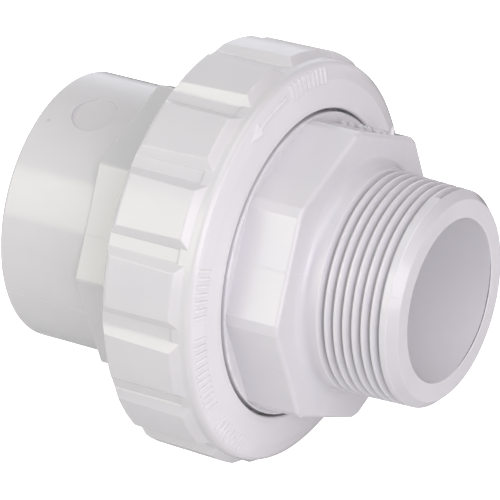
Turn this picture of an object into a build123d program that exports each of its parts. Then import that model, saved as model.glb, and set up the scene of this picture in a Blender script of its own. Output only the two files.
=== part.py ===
from build123d import *
import math
import os

# A 1-1/2 inch plastic pipe union, closed and hand tight: a slip socket end, a
# tailpiece with a male pipe thread, an o-ring between them and the union nut.
#
# Frame: the pipe axis runs along +X.  X = 0 is the open mouth of the slip
# socket, the male pipe thread points to +X and ends at X = LENGTH.  +Z is up.
# "Front" is towards +X, "rear" towards -X.  Angles run from +Y towards +Z, in
# degrees.  All lengths are millimetres; names ending in _R are radii from the axis.

# ---------------------------------------------------------------- dimensions
LENGTH = 96.0                 # mouth of the socket to the end of the male thread
WRENCH_CORNER_R = 33.5        # turned corners of both wrench octagons
CUT_CLEAR = 1.0               # how far a groove's cut starts behind the part

# socket end
SOCKET_OR = 30.15             # outside of the socket (same as 2 inch pipe)
SOCKET_R = 24.2               # slip socket for 48.26 mm pipe
SOCKET_DEPTH = 33.0           # depth of the pipe stop
SOCKET_LEAD = 1.2             # chamfer inside the mouth
MOUTH_ROUND = 0.8             # rounding outside the mouth
WATERWAY_R = 19.0             # passage from the pipe stop to the seal face
WATERWAY_CHAMFER = 0.8        # where the passage meets the seal face
RING_X0 = 21.9                # rear face of the octagonal wrench ring
RING_X1 = 34.4                # front face of that ring, just behind the nut
RING_FLAT = 31.05             # axis to flat
RING_EDGE = 0.5               # rounding of the rear edge
RING_CORE_X0 = RING_X0 + 2    # the turned core inside the ring
RING_CORE_R = RING_FLAT - 0.5
CONE_X0 = RING_X1 - 1         # cone from the ring out to the thread's shoulder
CONE_R0 = 33.0
SHOULDER_X = RING_X1 + 1.2
CONE_R1 = 35.6
CONE_ROUND = 1.0
SHOULDER_CHAMFER = 0.8
SEAL_X = 51.4                 # flat seal face
SEAL_CHAMFER = 1.1            # round the outside of the seal face

# round moulding mark on the socket
MARK_X = 12.2
MARK_ANGLE = 110.5
MARK_R = 5.1                  # radius of the disc itself
MARK_DEPTH = 0.15
MARK_SAG = 0.45               # allowance for the wall's curve across the disc
MARK_CUT = 4                  # length of the cut, out through the wall

# union thread (socket end outside, nut inside), right hand
UNION_PITCH = 5.0
UNION_ROOT_R = 37.9           # root of the socket's external thread
UNION_CREST_R = 39.75
NUT_MINOR_R = 38.25           # crest of the nut's internal thread
NUT_MAJOR_R = 40.3            # root of the nut's internal thread
UNION_TOOTH = 2.7             # axial width of either ridge at its own root
UNION_TIP = 1.4               # axial width of either ridge at its own crest
UNION_SUNK = 0.5              # how deep a ridge is sunk into its wall
MALE_X = 37.98                # start of the external ridge
MALE_ANGLE = 200.0
MALE_TURNS = 2.55
FEMALE_X = 37.70              # start of the internal ridge, half a pitch off the other
FEMALE_ANGLE = 0.0
FEMALE_TURNS = 2.45
RIDGE_TRIM = 2.6              # the slope cut on the external ridge's end starts this far back
RIDGE_TRIM_R = UNION_CREST_R + 1.5
RIDGE_TRIM_REACH = 8          # how far the trimming cut runs past the seal face

# nut body
NUT_X0 = 36.1                 # rear face
NUT_X1 = 59.9                 # front face, at the lip
NUT_MOUTH_CHAMFER = 0.6       # inside the rear opening
NUT_LIP_R = 34.4              # front opening
NUT_LIP_X = 55.9              # inner face of the lip
NUT_LIP_CHAMFER = 0.35
NUT_LAND = 2.6                # plain bore at NUT_MINOR_R, behind the lip
NUT_LAND_END = 4.4            # behind the lip, where its slope reaches NUT_MAJOR_R
NUT_REAR_DROP = 0.6           # rear face's edge, below the band
NUT_REAR_BEVEL = 0.25

# the nut's grip pads, the grooves between them and the band in front
PAD_COUNT = 16
PAD_R_REAR = 45.95            # pads lean out slightly to the front
PAD_R_FRONT = 46.25
PAD_X0 = 37.4                 # rear edge of the pads' top
PAD_X1 = 54.0                 # front edge of the pads' top
PAD_REAR_BREAK = (0.5, 0.12)  # length and drop of the bevel on that rear edge
PAD_FRONT_ROUND = 0.6
PAD_EDGE = 0.35               # rounding of the pads' long edges
PAD_EDGE_MIN = 8              # the long edges are longer than this
BAND_X = 55.8                 # the pads' front slope ends on the plain band here
BAND_R = 44.75                # plain band in front of the pads
BAND_ROUND = 0.4
GROOVE_R = 44.45              # floor of the grooves
GROOVE_HALF = 2.13            # half width of a groove's floor, degrees
GROOVE_WALL = 2.94            # width of a groove's sloping wall, degrees
GROOVE_PHASE = 1.31           # angle of one groove's centre
GROOVE_WALL_END = BAND_X + 0.2
GROOVE_END = 53.8             # the floor stops here, short of the band
GROOVE_TOP_R = PAD_R_FRONT + 1.5
FLOOR_INSET = 0.25            # narrowing of each side of the sunk floor
FLOOR_OVERLAP = 0.05          # the floor's cut reaches this far above the band

# the nut's front face, from the band's edge in to the lip, as (X, radius)
FACE_PROFILE = (
    (57.2, 44.7),
    (57.8, 44.45),
    (58.4, 43.75),
    (58.75, 42.95),
    (59.35, 40.7),
    (59.9, 36.0),
)

# raised marks on the nut's front face
FACE_MARK_RAISE = 0.25        # height above the face
FACE_MARK_BLANK = 4           # length of the marks before their tops are shaped
FACE_MARK_BACK = 2            # the shaping section reaches this far behind the face
TICK_R0 = 40.15
TICK_R1 = 43.55
TICK_STEP = 2.35              # degrees from tick to tick
TICK_WIDTH = 0.85             # degrees
TICK_GROUPS = ((77.7, 9), (161.5, 7), (182.5, 12), (216.5, 8))   # first angle, count
ARROW_R = 41.85
ARROW_SHAFT = (100.0, 115.0)  # angles of the shaft's ends
ARROW_TIP = 120.8             # angle of the tip
ARROW_SHAFT_HALF = 0.3        # half widths
ARROW_HEAD_HALF = 1.5

# tailpiece
TAIL_X0 = 51.5                # rear (seal) face of the flange
FLANGE_R = 37.6
FLANGE_X1 = 55.7
FLANGE_REAR_CHAMFER = 0.5
FLANGE_FRONT_CHAMFER = 0.4
COLLAR_R = 33.75
COLLAR_X1 = 60.3              # front of the round collar
COLLAR_ROUND = 0.4
TAIL_FLAT = 31.4              # axis to flat of the octagon
OCT_X0 = COLLAR_X1 - 0.6      # the octagon starts inside the collar
OCT_X1 = 73.2                 # front of the octagon
OCT_EDGE = 0.9                # rounding of the octagon's front edge
OCT_CORE_R = WRENCH_CORNER_R - 4
OCT_HOLE_EXTRA = 2            # either octagon's hole, over the radius of the part's bore
NECK_FILLET = 2.0             # hollow between the octagon and the threaded end
TAIL_BORE_R = 18.2
BORE_REAR_CHAMFER = 0.6
BORE_FRONT_CHAMFER = 0.12
END_R = 22.3                  # end face, after the lead chamfer
END_ROUND = 0.3
LEAD = 2.0                    # length of the lead chamfer

# pipe thread, 1-1/2 NPT
THREAD_PITCH = 2.2087         # 11.5 threads to the inch
TAPER = 1.0 / 32.0            # radius per length of a 1 in 16 taper
CREST_END_R = 24.02           # crest radius of the taper, produced to X = LENGTH
THREAD_DEPTH = 1.55
THREAD_FLOOR_HALF = 0.12      # half width of the groove at its floor
THREAD_RISE = 0.35            # the groove's cut reaches this far above the crests
THREAD_RISE_HALF = 1.09       # half width of the cut there
THREAD_TURNS = 7.34           # it runs out on the lead chamfer, near the top
THREAD_START_ANGLE = 330.0
THREAD_START_X = LENGTH - 18.96
THREAD_MIN_CUT = 1000         # least volume the thread takes away, cubic mm

# o-ring and its groove in the flange's rear face
O_RING_MEAN_R = 27.6
O_RING_WIRE_R = 1.75          # radius of the ring's own section
O_RING_SETBACK = 0.02         # the ring's rear, in front of the flange's rear face
GLAND_DEPTH_CLEAR = 0.06
GLAND_SIDE_CLEAR = 0.15


# ------------------------------------------------------------ planes and outlines
# A sketch plane that holds the axis: its x is the pipe axis, its y is the radius.
SECTION = Plane.XY


def across(x):
    """Plane square to the axis, whose own x and y are the world's +Y and +Z."""
    return Plane(origin=(x, 0, 0), x_dir=(0, 1, 0), z_dir=(1, 0, 0))


def at(radius, degrees):
    """Polar point of a plane square to the axis."""
    angle = math.radians(degrees)
    return (radius * math.cos(angle), radius * math.sin(angle))


def arc_band(r0, r1, a0, a1, steps=12):
    """Corners of a piece of a flat ring, from angle a0 to a1."""
    outer_arc = [at(r1, a0 + (a1 - a0) * k / steps) for k in range(steps + 1)]
    inner_arc = [at(r0, a1 + (a0 - a1) * k / steps) for k in range(steps + 1)]
    return outer_arc + inner_arc


def octagon_points(flat):
    """Corners of an octagon round the axis with a corner straight up."""
    corner = flat / math.cos(math.radians(22.5))
    return [at(corner, 45 * k) for k in range(8)]


def round_corners(radius, *corners):
    """Rounds corners of the section being drawn, each given as (X, radius from the axis)."""
    picked = [
        v for v in vertices()
        if any(abs(v.X - x) < 1e-3 and abs(v.Y - r) < 1e-3 for x, r in corners)
    ]
    assert len(picked) == len(corners), "a corner to round is missing"
    fillet(picked, radius)


def crest_r(x):
    """Crest radius of the pipe thread's taper at X = x."""
    return CREST_END_R + (LENGTH - x) * TAPER


# ------------------------------------------------------------ shared solids
def helical_bar(pitch, turns, radius, start_x, start_angle, inner, outer, cone_angle=0):
    """Trapezoid swept along a helix about +X, and the rotation that starts it at start_angle.

    inner and outer are the trapezoid's two parallel sides, in either order, each
    as (distance outward from the helix, half width).
    """
    inner_out, inner_half = inner
    outer_out, outer_half = outer
    with BuildPart() as bar:
        with BuildLine() as path:
            Helix(
                pitch,
                turns * pitch,
                radius,
                center=(start_x, 0, 0),
                direction=(1, 0, 0),
                cone_angle=cone_angle,
            )
        start = path.line @ 0
        # square to the helix at its start, with x pointing away from the axis
        with BuildSketch(Plane(origin=start, x_dir=(0, start.Y, start.Z), z_dir=path.line % 0)):
            with BuildLine():
                Polyline(
                    (inner_out, -inner_half),
                    (outer_out, -outer_half),
                    (outer_out, outer_half),
                    (inner_out, inner_half),
                    close=True,
                )
            make_face()
        sweep(path=path.line, is_frenet=True)
    turn = start_angle - math.degrees(math.atan2(start.Z, start.Y))
    return bar.part, (turn, 0, 0)


def wrench_octagon(x0, x1, flat, bore_r, edge, rounded_end):
    """Octagon with turned corners; rounded_end is 0 for the rear edge, -1 for the front."""
    with BuildPart() as octagon:
        with BuildSketch(across(x0)):
            Polygon(*octagon_points(flat), align=None)
            Circle(WRENCH_CORNER_R, mode=Mode.INTERSECT)
            Circle(bore_r + OCT_HOLE_EXTRA, mode=Mode.SUBTRACT)
        extrude(amount=x1 - x0)
        fillet(faces().sort_by(Axis.X)[rounded_end].outer_wire().edges(), edge)
    return octagon.part


# ------------------------------------------------------------------- socket end
def make_socket_end():
    ridge, ridge_turn = helical_bar(
        UNION_PITCH, MALE_TURNS, UNION_ROOT_R, MALE_X, MALE_ANGLE,
        inner=(-UNION_SUNK, UNION_TOOTH / 2),
        outer=(UNION_CREST_R - UNION_ROOT_R, UNION_TIP / 2),
    )
    ring = wrench_octagon(RING_X0, RING_X1, RING_FLAT, SOCKET_R, RING_EDGE, rounded_end=0)

    with BuildPart() as socket_end:
        with BuildSketch(SECTION):
            with BuildLine():
                Polyline(
                    (0, SOCKET_R + SOCKET_LEAD),
                    (0, SOCKET_OR),
                    (RING_CORE_X0, SOCKET_OR),
                    (RING_CORE_X0, RING_CORE_R),
                    (CONE_X0, RING_CORE_R),
                    (CONE_X0, CONE_R0),
                    (SHOULDER_X, CONE_R1),
                    (SHOULDER_X, UNION_ROOT_R - SHOULDER_CHAMFER),
                    (SHOULDER_X + SHOULDER_CHAMFER, UNION_ROOT_R),
                    (SEAL_X - SEAL_CHAMFER, UNION_ROOT_R),
                    (SEAL_X, UNION_ROOT_R - SEAL_CHAMFER),
                    (SEAL_X, WATERWAY_R + WATERWAY_CHAMFER),
                    (SEAL_X - WATERWAY_CHAMFER, WATERWAY_R),
                    (SOCKET_DEPTH, WATERWAY_R),
                    (SOCKET_DEPTH, SOCKET_R),
                    (SOCKET_LEAD, SOCKET_R),
                    close=True,
                )
            make_face()
            round_corners(MOUTH_ROUND, (0, SOCKET_OR))
            round_corners(CONE_ROUND, (SHOULDER_X, CONE_R1))
        revolve(axis=Axis.X)
        add(ring)
        add(ridge, rotation=ridge_turn)

        # the ridge's front end is cut to a slope that meets the seal face's edge
        with BuildSketch(SECTION):
            with BuildLine():
                Polyline(
                    (SEAL_X - RIDGE_TRIM, RIDGE_TRIM_R),
                    (SEAL_X + RIDGE_TRIM_REACH, RIDGE_TRIM_R),
                    (SEAL_X + RIDGE_TRIM_REACH, UNION_ROOT_R - SEAL_CHAMFER),
                    (SEAL_X, UNION_ROOT_R - SEAL_CHAMFER),
                    close=True,
                )
            make_face()
        revolve(axis=Axis.X, mode=Mode.SUBTRACT)

        # moulding mark, a shallow disc pressed into the outside
        mark_y, mark_z = at(SOCKET_OR - MARK_SAG - MARK_DEPTH, MARK_ANGLE)
        mark_plane = Plane(
            origin=(MARK_X, mark_y, mark_z),
            x_dir=(1, 0, 0),
            z_dir=(0, *at(1, MARK_ANGLE)),
        )
        with BuildSketch(mark_plane):
            Circle(MARK_R)
        extrude(amount=MARK_CUT, mode=Mode.SUBTRACT)
    socket_end.part.label = "socket_end"
    return socket_end.part


# ------------------------------------------------------------------------ o-ring
def make_o_ring():
    with BuildPart() as o_ring:
        with BuildSketch(SECTION):
            with Locations((TAIL_X0 + O_RING_WIRE_R + O_RING_SETBACK, O_RING_MEAN_R)):
                Circle(O_RING_WIRE_R)
        revolve(axis=Axis.X)
    o_ring.part.label = "o_ring"
    return o_ring.part


# --------------------------------------------------------------------- tailpiece
def make_tailpiece():
    groove, groove_turn = helical_bar(
        THREAD_PITCH, THREAD_TURNS, crest_r(THREAD_START_X), THREAD_START_X, THREAD_START_ANGLE,
        inner=(-THREAD_DEPTH, THREAD_FLOOR_HALF),
        outer=(THREAD_RISE, THREAD_RISE_HALF),
        cone_angle=-math.degrees(math.atan(TAPER)),
    )
    octagon = wrench_octagon(OCT_X0, OCT_X1, TAIL_FLAT, TAIL_BORE_R, OCT_EDGE, rounded_end=-1)
    neck_r = crest_r(OCT_X1)

    with BuildPart() as tailpiece:
        with BuildSketch(SECTION):
            with BuildLine():
                Polyline(
                    (TAIL_X0, TAIL_BORE_R + BORE_REAR_CHAMFER),
                    (TAIL_X0, FLANGE_R - FLANGE_REAR_CHAMFER),
                    (TAIL_X0 + FLANGE_REAR_CHAMFER, FLANGE_R),
                    (FLANGE_X1 - FLANGE_FRONT_CHAMFER, FLANGE_R),
                    (FLANGE_X1, FLANGE_R - FLANGE_FRONT_CHAMFER),
                    (FLANGE_X1, COLLAR_R),
                    (COLLAR_X1, COLLAR_R),
                    (COLLAR_X1, OCT_CORE_R),
                    (OCT_X1, OCT_CORE_R),
                    (OCT_X1, neck_r),
                    (LENGTH - LEAD, crest_r(LENGTH - LEAD)),
                    (LENGTH, END_R),
                    (LENGTH, TAIL_BORE_R + BORE_FRONT_CHAMFER),
                    (LENGTH - BORE_FRONT_CHAMFER, TAIL_BORE_R),
                    (TAIL_X0 + BORE_REAR_CHAMFER, TAIL_BORE_R),
                    close=True,
                )
            make_face()
            round_corners(COLLAR_ROUND, (COLLAR_X1, COLLAR_R))
            round_corners(NECK_FILLET, (OCT_X1, neck_r))
            round_corners(END_ROUND, (LENGTH, END_R))
        revolve(axis=Axis.X)
        add(octagon)

        uncut = tailpiece.part.volume
        add(groove, rotation=groove_turn, mode=Mode.SUBTRACT)
        assert tailpiece.part.volume < uncut - THREAD_MIN_CUT, "the pipe thread was not cut"

        # groove for the o-ring in the flange's rear face
        gland_half = O_RING_WIRE_R + GLAND_SIDE_CLEAR
        gland_x0 = TAIL_X0 - CUT_CLEAR
        gland_x1 = TAIL_X0 + 2 * O_RING_WIRE_R + GLAND_DEPTH_CLEAR
        with BuildSketch(SECTION):
            with BuildLine():
                Polyline(
                    (gland_x0, O_RING_MEAN_R - gland_half),
                    (gland_x0, O_RING_MEAN_R + gland_half),
                    (gland_x1, O_RING_MEAN_R + gland_half),
                    (gland_x1, O_RING_MEAN_R - gland_half),
                    close=True,
                )
            make_face()
        revolve(axis=Axis.X, mode=Mode.SUBTRACT)
    tailpiece.part.label = "tailpiece"
    return tailpiece.part


# ----------------------------------------------------------------------- the nut
def make_face_marks():
    """A turning arrow and groups of plain ticks, to stand on the nut's front face."""
    face_x, face_r = FACE_PROFILE[0]
    back_x = face_x - FACE_MARK_BACK
    shaft_end = ARROW_SHAFT[1]
    with BuildPart() as face_marks:
        with BuildSketch(across(face_x)):
            for first, count in TICK_GROUPS:
                for k in range(count):
                    a0 = first + TICK_STEP * k - TICK_WIDTH / 2
                    tick = arc_band(TICK_R0, TICK_R1, a0, a0 + TICK_WIDTH, steps=2)
                    Polygon(*tick, align=None)
            shaft = arc_band(ARROW_R - ARROW_SHAFT_HALF, ARROW_R + ARROW_SHAFT_HALF, *ARROW_SHAFT)
            Polygon(*shaft, align=None)
            Polygon(
                at(ARROW_R - ARROW_HEAD_HALF, shaft_end),
                at(ARROW_R + ARROW_HEAD_HALF, shaft_end),
                at(ARROW_R, ARROW_TIP),
                align=None,
            )
        extrude(amount=FACE_MARK_BLANK)
        # their tops follow the face
        with BuildSketch(SECTION):
            with BuildLine():
                Polyline(
                    (back_x, face_r),
                    *[(x + FACE_MARK_RAISE, r) for x, r in FACE_PROFILE],
                    (back_x, FACE_PROFILE[-1][1]),
                    close=True,
                )
            make_face()
        revolve(axis=Axis.X, mode=Mode.INTERSECT)
    return face_marks.part


def is_pad_edge(edge):
    """True for the long edges on top of the pads."""
    middle = edge @ 0.5
    return (
        PAD_X0 + 1 < middle.X < PAD_X1 - 1
        and math.hypot(middle.Y, middle.Z) > PAD_R_REAR - 0.1
        and edge.length > PAD_EDGE_MIN
    )


def make_union_nut():
    ridge, ridge_turn = helical_bar(
        UNION_PITCH, FEMALE_TURNS, NUT_MAJOR_R, FEMALE_X, FEMALE_ANGLE,
        inner=(UNION_SUNK, UNION_TOOTH / 2),
        outer=(NUT_MINOR_R - NUT_MAJOR_R, UNION_TIP / 2),
    )
    face_marks = make_face_marks()
    break_length, break_drop = PAD_REAR_BREAK

    with BuildPart() as union_nut:
        with BuildSketch(SECTION):
            with BuildLine():
                Polyline(
                    (NUT_X0, NUT_MAJOR_R + NUT_MOUTH_CHAMFER),
                    (NUT_X0, BAND_R - NUT_REAR_DROP),
                    (NUT_X0 + NUT_REAR_BEVEL, BAND_R - NUT_REAR_BEVEL),
                    (PAD_X0, PAD_R_REAR - break_drop),
                    (PAD_X0 + break_length, PAD_R_REAR),
                    (PAD_X1, PAD_R_FRONT),
                    (BAND_X, BAND_R),
                    *FACE_PROFILE,
                    (NUT_X1, NUT_LIP_R + NUT_LIP_CHAMFER),
                    (NUT_X1 - NUT_LIP_CHAMFER, NUT_LIP_R),
                    (NUT_LIP_X, NUT_LIP_R),
                    (NUT_LIP_X, NUT_MINOR_R),
                    (NUT_LIP_X - NUT_LAND, NUT_MINOR_R),
                    (NUT_LIP_X - NUT_LAND_END, NUT_MAJOR_R),
                    (NUT_X0 + NUT_MOUTH_CHAMFER, NUT_MAJOR_R),
                    close=True,
                )
            make_face()
            round_corners(PAD_FRONT_ROUND, (PAD_X1, PAD_R_FRONT))
            round_corners(BAND_ROUND, (BAND_X, BAND_R))
        revolve(axis=Axis.X)

        # grooves between the pads: sloping walls down to the plain band's level
        cut_x0 = NUT_X0 - CUT_CLEAR
        half = math.radians(GROOVE_HALF) * BAND_R
        wall = math.radians(GROOVE_WALL) * BAND_R
        top_half = half + (GROOVE_TOP_R - BAND_R) * wall / (PAD_R_FRONT - BAND_R)
        with BuildSketch(across(cut_x0)):
            with PolarLocations(0, PAD_COUNT, start_angle=GROOVE_PHASE):
                Polygon(
                    (BAND_R, -half),
                    (GROOVE_TOP_R, -top_half),
                    (GROOVE_TOP_R, top_half),
                    (BAND_R, half),
                    align=None,
                )
        extrude(amount=GROOVE_WALL_END - cut_x0, mode=Mode.SUBTRACT)

        # the floors are sunk a little below the band
        with BuildSketch(across(cut_x0)):
            with PolarLocations(0, PAD_COUNT, start_angle=GROOVE_PHASE):
                Polygon(
                    (GROOVE_R, -half + FLOOR_INSET),
                    (BAND_R + FLOOR_OVERLAP, -half),
                    (BAND_R + FLOOR_OVERLAP, half),
                    (GROOVE_R, half - FLOOR_INSET),
                    align=None,
                )
        extrude(amount=GROOVE_END - cut_x0, mode=Mode.SUBTRACT)

        # the long edges of the pads are softened
        pad_edges = [edge for edge in edges() if is_pad_edge(edge)]
        assert len(pad_edges) == 2 * PAD_COUNT, "a pad has two long edges"
        fillet(pad_edges, PAD_EDGE)
        add(face_marks)
        add(ridge, rotation=ridge_turn)
    union_nut.part.label = "union_nut"
    return union_nut.part


os.makedirs("parts", exist_ok=True)
for piece in (make_socket_end(), make_o_ring(), make_tailpiece(), make_union_nut()):
    export_step(piece, f"parts/{piece.label}.step")
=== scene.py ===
import math
import random

import bpy
from mathutils import Matrix, Vector
from mathutils.bvhtree import BVHTree


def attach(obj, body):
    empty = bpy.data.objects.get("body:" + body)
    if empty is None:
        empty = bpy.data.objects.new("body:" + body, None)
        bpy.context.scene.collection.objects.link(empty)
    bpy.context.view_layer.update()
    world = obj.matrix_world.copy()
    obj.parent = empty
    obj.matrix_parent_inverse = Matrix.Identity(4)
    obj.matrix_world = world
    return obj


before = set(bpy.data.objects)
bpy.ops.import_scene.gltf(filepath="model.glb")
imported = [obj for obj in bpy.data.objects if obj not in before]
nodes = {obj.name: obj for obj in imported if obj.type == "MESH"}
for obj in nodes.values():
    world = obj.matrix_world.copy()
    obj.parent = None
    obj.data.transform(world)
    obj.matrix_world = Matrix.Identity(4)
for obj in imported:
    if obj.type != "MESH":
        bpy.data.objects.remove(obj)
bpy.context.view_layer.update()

MM = 0.001  # one millimetre in metres
TAIL_END = 96.0  # mm, X of the tailpiece's front end
WHITE = (1.0, 1.0, 1.0, 1.0)


def new_object(name, data):
    made = bpy.data.objects.new(name, data)
    bpy.context.scene.collection.objects.link(made)
    return made


# ---------------------------------------------------------------- node wiring
class Tree:
    """Wires a node tree: an input takes either a socket to link or a plain value."""

    def __init__(self, tree):
        self.tree = tree
        tree.nodes.clear()

    def set_input(self, socket, value):
        if isinstance(value, bpy.types.NodeSocket):
            self.tree.links.new(value, socket)
        else:
            socket.default_value = value

    def add(self, kind, values=None, **props):
        node = self.tree.nodes.new(kind)
        for key, value in props.items():
            setattr(node, key, value)
        for key, value in (values or {}).items():
            self.set_input(node.inputs[key], value)
        return node

    def out(self, kind, values=None, **props):
        """Add a node and return its first output."""
        return self.add(kind, values, **props).outputs[0]

    def math(self, operation, a, b=0.0, clamp=False):
        return self.out("ShaderNodeMath", {0: a, 1: b}, operation=operation, use_clamp=clamp)

    def plus(self, a, b, clamp=False):
        return self.math("ADD", a, b, clamp)

    def minus(self, a, b):
        return self.math("SUBTRACT", a, b)

    def times(self, a, b):
        return self.math("MULTIPLY", a, b)

    def in_mm(self, metres):
        return self.times(metres, 1000.0)

    def dot(self, a, b):
        node = self.add("ShaderNodeVectorMath", {0: a, 1: b}, operation="DOT_PRODUCT")
        return node.outputs["Value"]

    def place(self):
        return self.add("ShaderNodeTexCoord").outputs["Object"]

    def noise(self, vector, scale, detail=2.0, rough=0.5, distortion=0.0):
        values = {
            "Vector": vector,
            "Scale": scale,
            "Detail": detail,
            "Roughness": rough,
            "Distortion": distortion,
        }
        return self.add("ShaderNodeTexNoise", values).outputs["Fac"]

    def ramp(self, factor, *stops):
        """A grey ramp through stops of (position, value)."""
        node = self.add("ShaderNodeValToRGB", {"Fac": factor})
        elements = node.color_ramp.elements
        while len(elements) < len(stops):
            elements.new(0.5)
        for element, (position, value) in zip(elements, stops):
            element.position = position
            element.color = (value, value, value, 1.0)
        return node.outputs["Color"]

    def rise(self, factor, start, end):
        return self.ramp(factor, (start, 0.0), (end, 1.0))

    def fall(self, factor, start, end):
        return self.ramp(factor, (start, 1.0), (end, 0.0))

    def mix(self, factor, a, b):
        """Mix two colours, each a socket or an (r, g, b)."""
        node = self.add("ShaderNodeMix", data_type="RGBA", blend_type="MIX")
        for index, value in ((0, factor), (6, a), (7, b)):
            if isinstance(value, tuple):
                value = (*value, 1.0)
            self.set_input(node.inputs[index], value)
        return node.outputs[2]

    def mix_shader(self, factor, a, b):
        return self.out("ShaderNodeMixShader", {0: factor, 1: a, 2: b})

    def bump(self, height, strength, distance, invert=False, **normal):
        values = {"Strength": strength, "Distance": distance, "Height": height}
        if normal:
            values["Normal"] = normal["normal"]
        return self.out("ShaderNodeBump", values, invert=invert)

    def finish(self, surface):
        self.add("ShaderNodeOutputMaterial", {"Surface": surface})

    def finish_principled(self, values):
        self.finish(self.out("ShaderNodeBsdfPrincipled", values))


def new_material(name):
    material = bpy.data.materials.new(name)
    material.use_nodes = True
    return material, Tree(material.node_tree)


# ------------------------------------------------------ moulded white plastic
def cloudy_colour(tree, position, base, shade, warm):
    """Two whites mixed by slow noise, and a warm one in streaks along the flow."""
    cloud = tree.noise(position, scale=38.0, detail=3.0, rough=0.55, distortion=0.4)
    streaks = tree.out("ShaderNodeMapping", {"Vector": position, "Scale": (18.0, 90.0, 90.0)})
    flow = tree.noise(streaks, scale=1.0, detail=4.0, rough=0.6, distortion=0.8)
    colour = tree.mix(tree.rise(cloud, start=0.35, end=0.68), base, shade)
    return tree.mix(tree.times(tree.rise(flow, start=0.45, end=0.75), 0.5), colour, warm)


def add_specks(tree, colour, position):
    """Small grey dots in a few of the cells."""
    values = {"Vector": position, "Scale": 150.0, "Randomness": 1.0}
    cells = tree.add("ShaderNodeTexVoronoi", values, feature="F1")
    cell_value = tree.out("ShaderNodeSeparateColor", {"Color": cells.outputs["Color"]})
    chosen = tree.rise(cell_value, start=0.93, end=0.94)
    dot = tree.fall(cells.outputs["Distance"], start=0.035, end=0.10)
    return tree.mix(tree.times(tree.times(chosen, dot), 0.35), colour, (0.42, 0.42, 0.40))


def handling_scratches(tree, position):
    """Hairline scratches, kept to patches."""
    values = {"Vector": position, "Rotation": (0.4, 0.9, 0.3), "Scale": (60.0, 900.0, 500.0)}
    stretched = tree.out("ShaderNodeMapping", values)
    hairs = tree.noise(stretched, scale=1.0, detail=1.0, rough=0.5, distortion=0.2)
    hairs = tree.rise(hairs, start=0.70, end=0.76)
    patches = tree.rise(tree.noise(position, scale=55.0, detail=2.0), start=0.52, end=0.66)
    return tree.times(hairs, patches)


def axis_distances(tree, place):
    """Distance along the axis and distance from it, in metres."""
    split = tree.add("ShaderNodeSeparateXYZ", {"Vector": place})
    squares = [tree.math("POWER", split.outputs[axis], 2.0) for axis in "YZ"]
    return split.outputs["X"], tree.math("SQRT", tree.plus(*squares))


def paint_face_light(tree, colour, along, radius, start, painted_light_tint, mark_highlight, profile):
    """Painted light: the smooth front face is painted a paler tone, and the raised marks on it are
    painted paler still as highlights.
    """
    past_start = tree.in_mm(tree.minus(along, start * MM))
    colour = tree.mix(tree.rise(past_start, start=0.0, end=0.7), colour, painted_light_tint)
    front = None
    for (x0, radius0), (x1, radius1) in zip(profile, profile[1:]):
        slope = (x1 - x0) / (radius1 - radius0)
        line = tree.plus(tree.times(radius, slope), (x0 - slope * radius0) * MM)
        front = line if front is None else tree.math("MINIMUM", front, line)
    proud = tree.in_mm(tree.minus(along, front))
    # painted highlight on the raised marks
    return tree.mix(tree.times(tree.rise(proud, start=0.08, end=0.16), 0.8), colour, mark_highlight)


def paint_edge_highlights(tree, colour, edge_normal):
    """Painted highlight: edges are painted paler, where the rounded normal turns from the true
    one.
    """
    true_normal = tree.add("ShaderNodeNewGeometry").outputs["True Normal"]
    turn = tree.minus(1.0, tree.dot(edge_normal, true_normal))
    edge_highlight = tree.rise(turn, start=0.006, end=0.07)
    return tree.mix(tree.times(edge_highlight, 0.75), colour, (0.93, 0.93, 0.93))


def paint_hollow_shade(tree, colour, amount):
    """Painted shade: hollows, where less light reaches, are painted darker."""
    node = tree.add("ShaderNodeAmbientOcclusion", {"Distance": 0.004}, samples=4)
    hollow = tree.fall(node.outputs["AO"], start=0.10, end=0.75)
    return tree.mix(tree.times(hollow, amount), colour, (0.45, 0.45, 0.46))


def paint_thread(tree, colour, along, radius, end_radius, taper, depth, root_radius, amount):
    """Painted shade: a thin dark line in the thread's roots, and a darker chamfer at its end."""
    crest = tree.times(tree.minus(TAIL_END * MM, along), taper)
    crest = tree.plus(crest, end_radius * MM)
    sunk = tree.times(tree.minus(crest, radius), 1000.0 / depth)
    sunk = tree.rise(sunk, start=0.50, end=0.76)
    outside_wall = tree.math("GREATER_THAN", radius, root_radius * MM)
    before_end = tree.math("LESS_THAN", along, (TAIL_END - 2.5) * MM)
    inside = tree.times(outside_wall, before_end)
    # painted shade in the roots
    painted_shade = tree.times(tree.times(sunk, inside), amount)
    colour = tree.mix(painted_shade, colour, (0.42, 0.42, 0.44))
    # painted shade on the end chamfer
    chamfer = tree.in_mm(tree.minus(radius, 22.1 * MM))
    at_end = tree.math("GREATER_THAN", along, (TAIL_END - 1.9) * MM)
    chamfer = tree.times(tree.rise(chamfer, start=0.0, end=0.4), at_end)
    return tree.mix(tree.times(chamfer, 0.16), colour, (0.42, 0.42, 0.43))


def moulded_relief(tree, position, scratch, normal):
    """Soft sink waves, moulding grain and scratches over the rounded edges."""
    waves = tree.noise(position, scale=120.0, detail=1.0, rough=0.4)
    grain = tree.noise(position, scale=2600.0, detail=2.0, rough=0.6)
    normal = tree.bump(waves, strength=0.10, distance=0.0006, normal=normal)
    normal = tree.bump(grain, strength=0.10, distance=0.00003, normal=normal)
    return tree.bump(scratch, strength=0.08, distance=0.00002, invert=True, normal=normal)


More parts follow.
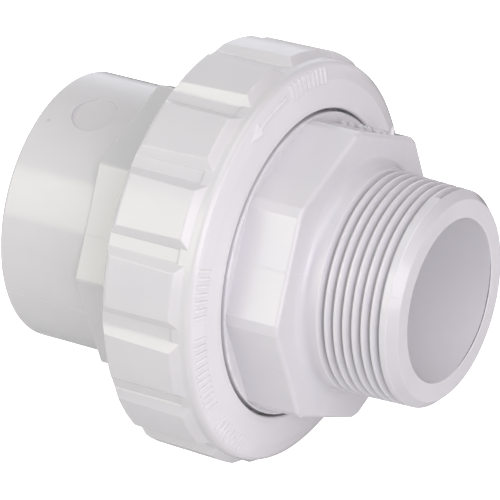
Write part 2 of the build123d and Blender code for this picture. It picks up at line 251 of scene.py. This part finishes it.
def moulded(name, base, shade, warm, rough, seed, painted_shade, face=None, thread=None, bore=None):
    """White injection-moulded plastic; face, thread and bore paint those places on a piece."""
    material, tree = new_material(name)
    place = tree.place()
    shift = {0: place, 1: (seed, seed * 1.7, seed * 0.3)}
    position = tree.out("ShaderNodeVectorMath", shift, operation="ADD")
    colour = cloudy_colour(tree, position, base, shade, warm)
    colour = add_specks(tree, colour, position)
    scratch = handling_scratches(tree, position)
    edge_normal = tree.out("ShaderNodeBevel", {"Radius": 0.3 * MM}, samples=6)
    if face or thread or bore:
        along, radius = axis_distances(tree, place)
    if face:
        # painted light on the nut's front face and its raised marks
        colour = paint_face_light(tree, colour, along, radius, **face)
    # painted highlight along rounded edges
    colour = paint_edge_highlights(tree, colour, edge_normal)
    # painted shade in hollows
    colour = paint_hollow_shade(tree, colour, painted_shade)
    if thread:
        # painted shade in the thread's roots and on its end chamfer
        colour = paint_thread(tree, colour, along, radius, **thread)
    if bore:
        # light passes through the thin wall, so the waterway's wall is paler than the outside
        in_bore = tree.math("LESS_THAN", radius, bore["radius"] * MM)
        colour = tree.mix(in_bore, colour, bore["painted_light_tint"])
    haze = tree.noise(position, scale=90.0, detail=3.0, rough=0.6)
    haze = tree.rise(haze, start=0.38, end=0.7)
    roughness = tree.plus(tree.times(haze, 0.07), rough)
    roughness = tree.plus(roughness, tree.times(scratch, 0.06), clamp=True)
    tree.finish_principled({
        "Base Color": colour,
        "Roughness": roughness,
        "IOR": 1.53,
        "Specular IOR Level": 0.6,
        "Normal": moulded_relief(tree, position, scratch, edge_normal),
        "Subsurface Weight": 0.12,
        "Subsurface Radius": (0.0010, 0.0009, 0.0009),
        "Subsurface Scale": 1.0,
    })
    return material


# ------------------------------------------------------------ other materials
def seal_rubber(name):
    """Black rubber with patches of pale dust."""
    material, tree = new_material(name)
    place = tree.place()
    dust = tree.noise(place, scale=260.0, detail=4.0, rough=0.6)
    dust = tree.rise(dust, start=0.45, end=0.72)
    grain = tree.noise(place, scale=1800.0, detail=2.0)
    black, dusty = (0.012, 0.012, 0.013), (0.10, 0.10, 0.10)
    tree.finish_principled({
        "Base Color": tree.mix(tree.times(dust, 0.35), black, dusty),
        "Roughness": tree.plus(tree.times(dust, 0.25), 0.42),
        "IOR": 1.52,
        "Normal": tree.bump(grain, strength=0.2, distance=0.00005),
    })
    return material


def flash_plastic(name):
    """Thin flash left by the mould: paler and a little see-through."""
    material, tree = new_material(name)
    place = tree.place()
    cloud = tree.noise(place, scale=500.0, detail=3.0, rough=0.6)
    ripple = tree.noise(place, scale=1400.0, detail=2.0)
    tree.finish_principled({
        "Base Color": tree.mix(cloud, (0.80, 0.80, 0.81), (0.92, 0.92, 0.93)),
        "Roughness": tree.plus(tree.times(cloud, 0.15), 0.16),
        "IOR": 1.53,
        "Normal": tree.bump(ripple, strength=0.3, distance=0.0001),
        "Transmission Weight": 0.15,
    })
    return material


# A dark material for strips of painted shadow.
def dark_painted_shade(name):
    material, tree = new_material(name)
    place = tree.place()
    cloud = tree.noise(place, scale=900.0, detail=3.0, rough=0.6)
    grain = tree.noise(place, scale=3000.0, detail=2.0)
    tree.finish_principled({
        "Base Color": tree.mix(cloud, (0.10, 0.09, 0.11), (0.30, 0.28, 0.32)),
        "Roughness": 0.6,
        "Normal": tree.bump(grain, strength=0.3, distance=0.00005),
    })
    return material


def white_paper(name):
    """Paper that glows to the camera; grazing reflections show a dark bench behind the object."""
    material, tree = new_material(name)
    place = tree.place()
    cloud = tree.noise(place, scale=40.0, detail=3.0)
    colour = tree.mix(cloud, (0.90, 0.90, 0.90), (0.93, 0.93, 0.93))
    paper = tree.out("ShaderNodeBsdfDiffuse", {"Color": colour, "Roughness": 0.5})
    dark = {"Color": (0.06, 0.06, 0.06, 1.0), "Roughness": 0.5}
    bench = tree.out("ShaderNodeBsdfDiffuse", dark)
    glow = tree.out("ShaderNodeEmission", {"Color": WHITE, "Strength": 1.15})
    path = tree.add("ShaderNodeLightPath")
    # distance in metres from the axis's start, straight away from the camera
    away = tree.dot(place, (-0.524, 0.852, 0.0))
    on_bench = tree.ramp(away, (0.10, 0.0), (0.15, 1.0), (0.36, 1.0), (0.48, 0.0))
    on_bench = tree.times(on_bench, path.outputs["Is Glossy Ray"])
    lit = tree.mix_shader(on_bench, paper, bench)
    seen = tree.out("ShaderNodeAddShader", {0: lit, 1: glow})
    tree.finish(tree.mix_shader(path.outputs["Is Camera Ray"], lit, seen))
    return material


# Lengths in the face, thread and bore settings are in mm.
NUT_FACE = dict(
    start=57.8,
    # painted light: the paler tone of the front face
    painted_light_tint=(0.86, 0.85, 0.865),
    # painted highlight: the paler tone of the raised marks
    mark_highlight=(0.95, 0.945, 0.95),
    # the front face's outline: (X, radius)
    profile=((59.9, 36.0), (59.35, 40.7), (58.75, 42.95), (58.4, 43.75)),
)
TAIL_THREAD = dict(end_radius=24.02, taper=1.0 / 32.0, depth=2.0, root_radius=21.0, amount=0.45)

# each finish's hollows get painted shade of the given strength
finishes = {
    "socket_end": moulded(
        "pvc_body_white",
        base=(0.765, 0.76, 0.765), shade=(0.73, 0.725, 0.73), warm=(0.77, 0.76, 0.745),
        rough=0.15, seed=0.31, painted_shade=0.3,
    ),
    "union_nut": moulded(
        "pvc_nut_white",
        base=(0.77, 0.765, 0.77), shade=(0.735, 0.73, 0.74), warm=(0.775, 0.765, 0.755),
        rough=0.17, seed=0.77, painted_shade=0.35, face=NUT_FACE,
    ),
    "tailpiece": moulded(
        "pvc_tail_white",
        base=(0.789, 0.778, 0.804), shade=(0.753, 0.742, 0.773), warm=(0.799, 0.784, 0.789),
        rough=0.17, seed=1.13, painted_shade=0.12, thread=TAIL_THREAD,
        bore=dict(radius=18.4, painted_light_tint=(0.865, 0.855, 0.875)),
    ),
    "o_ring": seal_rubber("seal_rubber_black"),
}
flash_material = flash_plastic("mould_flash")
painted_shade_material = dark_painted_shade("edge_painted_shade")

for node_name, finish in finishes.items():
    piece = nodes[node_name]
    if not piece.material_slots:
        piece.data.materials.append(finish)
    for slot in piece.material_slots:
        slot.material = finish


# --------------------------------------------------------------- mould details
# node: (body its details ride on, their slot)
HOSTS = {"tailpiece": ("tail", "pvc_tail"), "socket_end": ("socket_body", "pvc_body")}


def surface_of(name):
    mesh = nodes[name].data
    points = [vertex.co.copy() for vertex in mesh.vertices]
    return BVHTree.FromPolygons(points, [tuple(face.vertices) for face in mesh.polygons])


surfaces = {name: surface_of(name) for name in HOSTS}


def radial(angle):
    turn = math.radians(angle)
    return Vector((0.0, math.cos(turn), math.sin(turn)))


def tangent(angle):
    return radial(angle + 90.0)


def point(x, radius, angle, sideways=0.0):
    return Vector((x, 0, 0)) + radial(angle) * radius + tangent(angle) * sideways


def radius_at(node, x, angle):
    """Distance of a node's outer surface from the axis at X = x, in metres, or None."""
    hit = surfaces[node].ray_cast(point(x, 0.08, angle), -radial(angle), 0.065)[0]
    return None if hit is None else math.hypot(hit.y, hit.z)


def bridge(start, width):
    """Quads that join the row of points before start to the row beginning there."""
    before = start - width
    return [(before + j, before + j + 1, start + j + 1, start + j) for j in range(width - 1)]


def end_taper(part, power):
    """0 at both ends of a run, 1 in its middle."""
    return math.sin(math.pi * part) ** power if 0 < part < 1 else 0.0


def add_detail(name, verts, faces, material, host):
    mesh = bpy.data.meshes.new(name)
    mesh.from_pydata([tuple(vert) for vert in verts], [], faces)
    mesh.validate()
    mesh.update()
    for face in mesh.polygons:
        face.use_smooth = True
    mesh.materials.append(material)
    detail = new_object(name, mesh)
    body, slot_name = HOSTS[host]
    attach(detail, body)


def seam(name, host, angle, x0, x1, height, seed):
    """The mould's parting line: a low rounded ridge that follows the surface along the axis."""
    width, step, sunk = 0.34, 0.12, -0.04 * MM
    rand = random.Random(seed)
    verts, faces = [], []
    joined = False
    count = max(2, int(round((x1 - x0) / step)))
    for i in range(count + 1):
        x = (x0 + (x1 - x0) * i / count) * MM
        radius = radius_at(host, x, angle)
        if radius is None:
            joined = False
            continue
        ends = min(1.0, min(i, count - i) / 4.0)
        crest = height * MM * ends * (0.75 + 0.5 * rand.random())
        wide = width * MM * (0.85 + 0.3 * rand.random())
        drift = 0.05 * MM * math.sin(i * 0.21 + seed)
        # across the ridge: (place in half widths, lift)
        section = (
            (-1.0, sunk), (-0.45, crest * 0.75), (0.0, crest), (0.45, crest * 0.75), (1.0, sunk),
        )
        start = len(verts)
        for across, lift in section:
            verts.append(point(x, radius + lift, angle, across * wide / 2 + drift))
        if joined:
            faces += bridge(start, len(section))
        joined = True
    add_detail(name, verts, faces, finishes[host], host)


def flash_strip(name, angle, x0, x1, height, seed, lean):
    """A torn sliver of flash standing on the tailpiece: thin, wavy and uneven."""
    thick, step = 0.16, 0.3
    rand = random.Random(seed)
    count = max(6, int((x1 - x0) / step))
    offset = tangent(angle) * (thick * MM / 2)
    verts, faces = [], []
    for i in range(count + 1):
        part = i / count
        x = (x0 + (x1 - x0) * part) * MM
        radius = radius_at("tailpiece", x, angle)
        tall = height * MM * end_taper(part, 0.4) * (0.45 + 0.75 * rand.random())
        wave = (0.28 * math.sin(i * 0.9 + seed) + 0.24 * (rand.random() - 0.5)) * MM
        base = point(x, radius - 0.05 * MM, angle, wave * 0.4)
        top = point(x, radius + tall, angle, wave + lean * tall)
        middle = (base + top) / 2 + tangent(angle) * (0.25 * wave)
        start = len(verts)
        verts += [base - offset * 1.6, middle - offset, top - offset * 0.25]
        verts += [top + offset * 0.25, middle + offset, base + offset * 1.6]
        if start:
            faces += bridge(start, 6)
    last = len(verts) - 1
    faces.append(tuple(range(6)))
    faces.append(tuple(range(last, last - 6, -1)))
    add_detail(name, verts, faces, flash_material, "tailpiece")


def bore_shadow_line(name, x, radius, angle0, angle1, width, seed):
    """Painted shadow: a hair-thin dark curved strip on the bore's wall, tapering to both ends."""
    count = 120
    rand = random.Random(seed)
    verts, faces = [], []
    for i in range(count + 1):
        part = i / count
        angle = angle0 + (angle1 - angle0) * part
        wide = width * MM * end_taper(part, 0.5) * (0.7 + 0.5 * rand.random())
        shift = 0.05 * MM * math.sin(9.0 * part + seed)
        start = len(verts)
        # across the line: (X offset, mm proud of the wall)
        for across, proud in ((0.0, 0.012), (-wide * 0.5, 0.03), (-wide, 0.012)):
            verts.append(point(x * MM + across + shift, (radius - proud) * MM, angle))
        if start:
            faces += bridge(start, 3)
    add_detail(name, verts, faces, painted_shade_material, "tailpiece")


# Pairs of seams on opposite sides: name, node, first angle, X from and to, height (mm), seed
SEAMS = (
    ("tailpiece_seam", "tailpiece", 157.5, 60.9, 95.5, 0.045, 3),
    ("socket_seam", "socket_end", 200.0, 0.6, 21.4, 0.07, 11),
    ("ring_seam", "socket_end", 162.5, 22.4, 34.0, 0.045, 17),
)
for name, host, angle, x0, x1, height, seed in SEAMS:
    for i in range(2):
        side = (angle + 180.0 * i) % 360.0
        seam(f"{name}_{i + 1}", host, side, x0, x1, height, seed + i)

# Slivers of flash: angle, X from and to, height (mm), seed, lean (sideways per height)
FLASH = (
    (68.4, 60.8, 72.6, 0.95, 5, 0.7),
    (66.0, 61.2, 72.2, 0.85, 9, -0.5),
    (61.0, 71.0, 72.6, 2.3, 12, 0.1),
)
for i, sliver in enumerate(FLASH):
    flash_strip(f"mould_flash_{i + 1}", *sliver)

# painted shadow just behind the bore's front edge
bore_shadow_line(
    "bore_edge_painted_shade", x=TAIL_END - 0.22, radius=18.2, angle0=-78.0, angle1=8.0, width=0.22, seed=4
)


# ---------------------------------------------------------------------- stage
def paper_floor(height=-0.0466, half=2.2, cells=24):
    """A square grid, in metres, centred under the origin."""
    row = cells + 1
    steps = [-half + 2 * half * i / cells for i in range(row)]
    verts = [(x, y, height) for y in steps for x in steps]
    corners = [j * row + i for j in range(cells) for i in range(cells)]
    faces = [(a, a + 1, a + row + 1, a + row) for a in corners]
    mesh = bpy.data.meshes.new("floor")
    mesh.from_pydata(verts, [], faces)
    floor = new_object("floor", mesh)
    mesh.materials.append(white_paper("white_paper"))


paper_floor()


# --------------------------------------------------------------------- camera
def add_camera():
    """A long lens in front (+X), on the -Y side and above."""
    azimuth, elevation, roll = math.radians(31.61), math.radians(24.45), math.radians(0.3)
    distance = 1.073
    # where the tailpiece's end lies in view, per metre of distance
    end_right, end_up = 0.03993, -0.00993
    sin_az, cos_az = math.sin(azimuth), math.cos(azimuth)
    sin_el, cos_el = math.sin(elevation), math.cos(elevation)
    right = Vector((cos_az, sin_az, 0.0))
    up = Vector((-sin_az * sin_el, cos_az * sin_el, cos_el))
    back = Vector((sin_az * cos_el, -cos_az * cos_el, sin_el))
    tail_end = Vector((TAIL_END * MM, 0, 0))
    spot = tail_end - distance * (end_right * right + end_up * up - back)
    data = bpy.data.cameras.new("camera")
    data.sensor_width = 36.0
    data.lens = 361.4
    data.clip_start = 0.05
    data.clip_end = 20.0
    camera = new_object("camera", data)
    rolled_right = math.cos(roll) * right + math.sin(roll) * up
    rolled_up = math.cos(roll) * up - math.sin(roll) * right
    turn = Matrix((rolled_right, rolled_up, back)).transposed()
    camera.matrix_world = Matrix.Translation(spot) @ turn.to_4x4()
    bpy.context.scene.camera = camera


add_camera()


# --------------------------------------------------------------------- lights
def softbox(name, direction, distance, size, power, color):
    """A soft box in a direction from the object's middle, facing it; sizes in metres."""
    toward_light = Vector(direction).normalized()
    data = bpy.data.lights.new(name, "AREA")
    data.shape = "RECTANGLE"
    data.size, data.size_y = size
    data.energy = power
    data.color = color
    light = new_object(name, data)
    light.location = Vector((TAIL_END / 2 * MM, 0, 0)) + toward_light * distance
    light.rotation_mode = "QUATERNION"
    light.rotation_quaternion = toward_light.to_track_quat("Z", "Y")


# the box on the camera's left shows as a bright band on every turned surface
softbox(
    "softbox_left", direction=(-0.4772, -0.79, 0.36), distance=1.6, size=(0.95, 1.0),
    power=6.65, color=(0.967, 1.0, 0.80),
)
softbox(
    "softbox_top", direction=(0.1, -0.2, 1.0), distance=1.8, size=(1.6, 1.6),
    power=9.28, color=(0.938, 1.0, 0.97),
)
softbox(
    "fill_right", direction=(0.9, -0.55, 0.25), distance=1.9, size=(1.4, 1.2),
    power=13.3, color=(0.939, 0.97, 1.0),
)

# ---------------------------------------------------------------------- world
# Soft patches of light on a white tent round the object:
# (azimuth from -Y towards +X, elevation) in degrees, (r, g, b) strength
PATCHES = (
    ((31.6, 10.0), (0.01, 0.0, 0.13)),
    ((76.6, 10.0), (0.32, 0.30, 0.13)),
    ((211.6, 10.0), (1.38, 1.39, 1.47)),
    ((301.6, 10.0), (0.16, 0.08, 0.36)),
    ((61.6, 30.0), (0.83, 0.72, 0.84)),
    ((301.6, 30.0), (0.32, 0.35, 0.26)),
    ((67.6, 50.0), (0.24, 0.16, 0.22)),
    ((355.6, 50.0), (0.18, 0.20, 0.16)),
)
TIGHTNESS = 6.0  # higher makes each patch smaller


def toward(azimuth, elevation):
    turn, rise = math.radians(azimuth), math.radians(elevation)
    flat = math.cos(rise)
    return (math.sin(turn) * flat, -math.cos(turn) * flat, math.sin(rise))


def tent_world(name):
    """The tent's patches light the object; the camera itself sees plain white."""
    world = bpy.data.worlds.new(name)
    bpy.context.scene.world = world
    world.use_nodes = True
    tree = Tree(world.node_tree)
    look = tree.add("ShaderNodeTexCoord").outputs["Generated"]
    total = None
    for angles, strength in PATCHES:
        off_centre = tree.minus(tree.dot(look, toward(*angles)), 1.0)
        lobe = tree.math("EXPONENT", tree.times(off_centre, TIGHTNESS))
        scaled = {0: strength, "Scale": lobe}
        patch = tree.out("ShaderNodeVectorMath", scaled, operation="SCALE")
        if total is None:
            total = patch
        else:
            total = tree.out("ShaderNodeVectorMath", {0: total, 1: patch}, operation="ADD")
    is_camera = tree.add("ShaderNodeLightPath").outputs["Is Camera Ray"]
    lit = tree.out("ShaderNodeBackground", {"Color": total, "Strength": 1.0})
    seen = tree.out("ShaderNodeBackground", {"Color": WHITE, "Strength": 1.2})
    surface = tree.mix_shader(is_camera, lit, seen)
    tree.add("ShaderNodeOutputWorld", {"Surface": surface})


tent_world("studio")

view = bpy.context.scene.view_settings
view.view_transform = "Standard"
view.look = "None"
view.exposure = 0.0
view.gamma = 1.0
